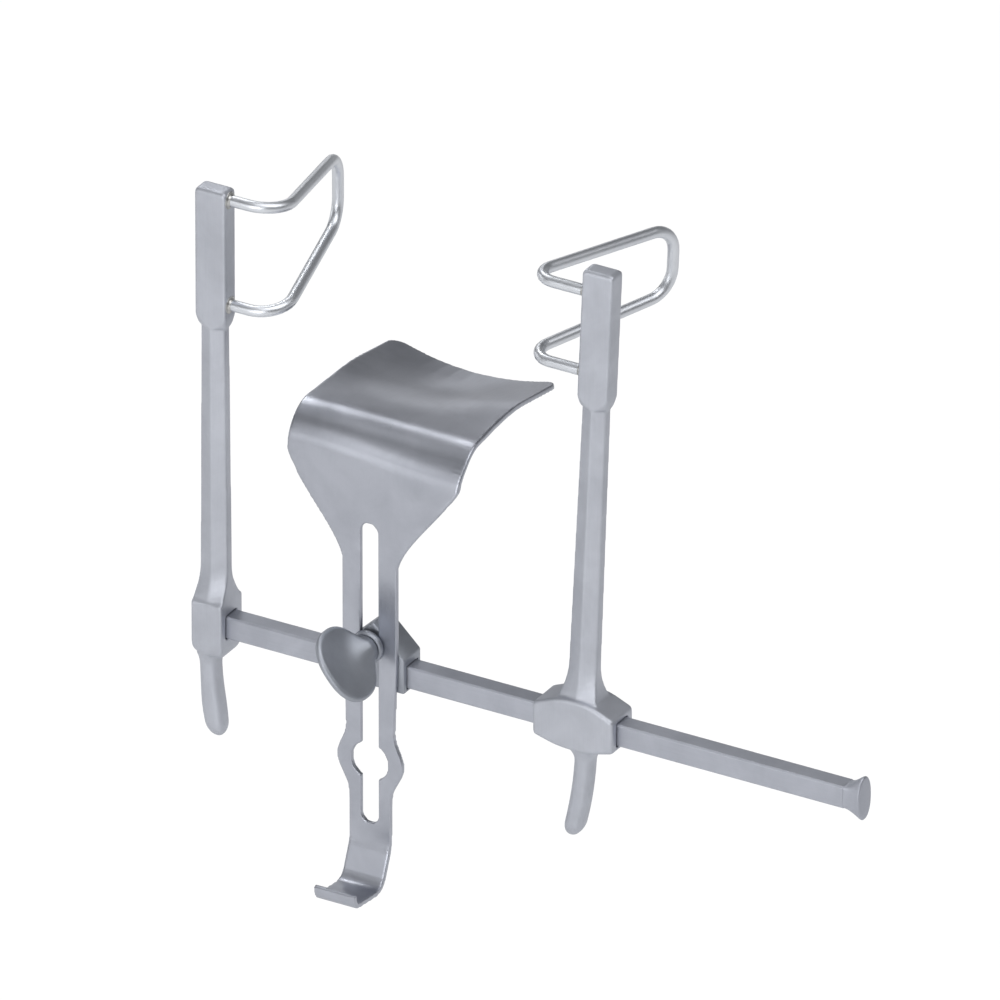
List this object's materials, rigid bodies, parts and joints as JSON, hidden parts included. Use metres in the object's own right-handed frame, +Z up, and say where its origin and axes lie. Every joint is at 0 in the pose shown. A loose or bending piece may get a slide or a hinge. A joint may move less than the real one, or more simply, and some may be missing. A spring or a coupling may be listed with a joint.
{
  "type": "abdominal retractor",
  "caption": "Self-retaining abdominal retractor: crossbar with a fixed arm, a sliding arm, wire side blades and a slotted centre blade clamped by a wing nut.",
  "frame": {"origin": "centre of the fixed boss's outer side face, on the crossbar's axis", "axes": "+X along the crossbar from the fixed arm to the end stop; +Z up the arms, away from the finger handles; +Y from the front of the bar, where the wing nut is, towards the wound side, where the blades reach"},
  "size_m": [0.2157, 0.0834, 0.2111],
  "materials": {
    "bar_steel": "satin",
    "forged_steel": "satin",
    "wire_steel": "polished satin",
    "sheet_steel": "satin",
    "clamp_steel": "satin",
    "pin_steel": "turned"
  },
  "bodies": {
    "frame": {"crossbar": "bar_steel", "end_stop": "bar_steel", "fixed_arm": "forged_steel", "fixed_arm_pin": "pin_steel", "fixed_wire_blade": "wire_steel"},
    "sliding_side": {"sliding_arm": "forged_steel", "sliding_wire_blade": "wire_steel"},
    "carriage": {"centre_block": "clamp_steel", "clamp_stud": "pin_steel"},
    "swivel": {"clamp_washer": "clamp_steel"},
    "blade": {"centre_blade": "sheet_steel"},
    "nut": {"wing_nut": "clamp_steel"}
  },
  "joints": [
    {"name": "sliding_arm_slide", "type": "slide", "parent": "frame", "child": "sliding_side", "axis": [1, 0, 0], "range_m": [-0.014, 0.0724]},
    {"name": "carriage_slide", "type": "slide", "parent": "frame", "child": "carriage", "axis": [1, 0, 0], "range_m": [-0.01, 0.01]},
    {"name": "blade_swivel", "type": "hinge", "parent": "carriage", "child": "swivel", "pos_m": [0.0588, 0, 0.0095], "axis": [0, 1, 0], "range_deg": [-6, 6]},
    {"name": "blade_slide", "type": "slide", "parent": "swivel", "child": "blade", "axis": [0, 0, 1], "range_m": [-0.036, 0.02]},
    {"name": "wing_nut_turn", "type": "hinge", "parent": "carriage", "child": "nut", "pos_m": [0.0588, 0, 0.0095], "axis": [0, 1, 0], "continuous": true}
  ]
}
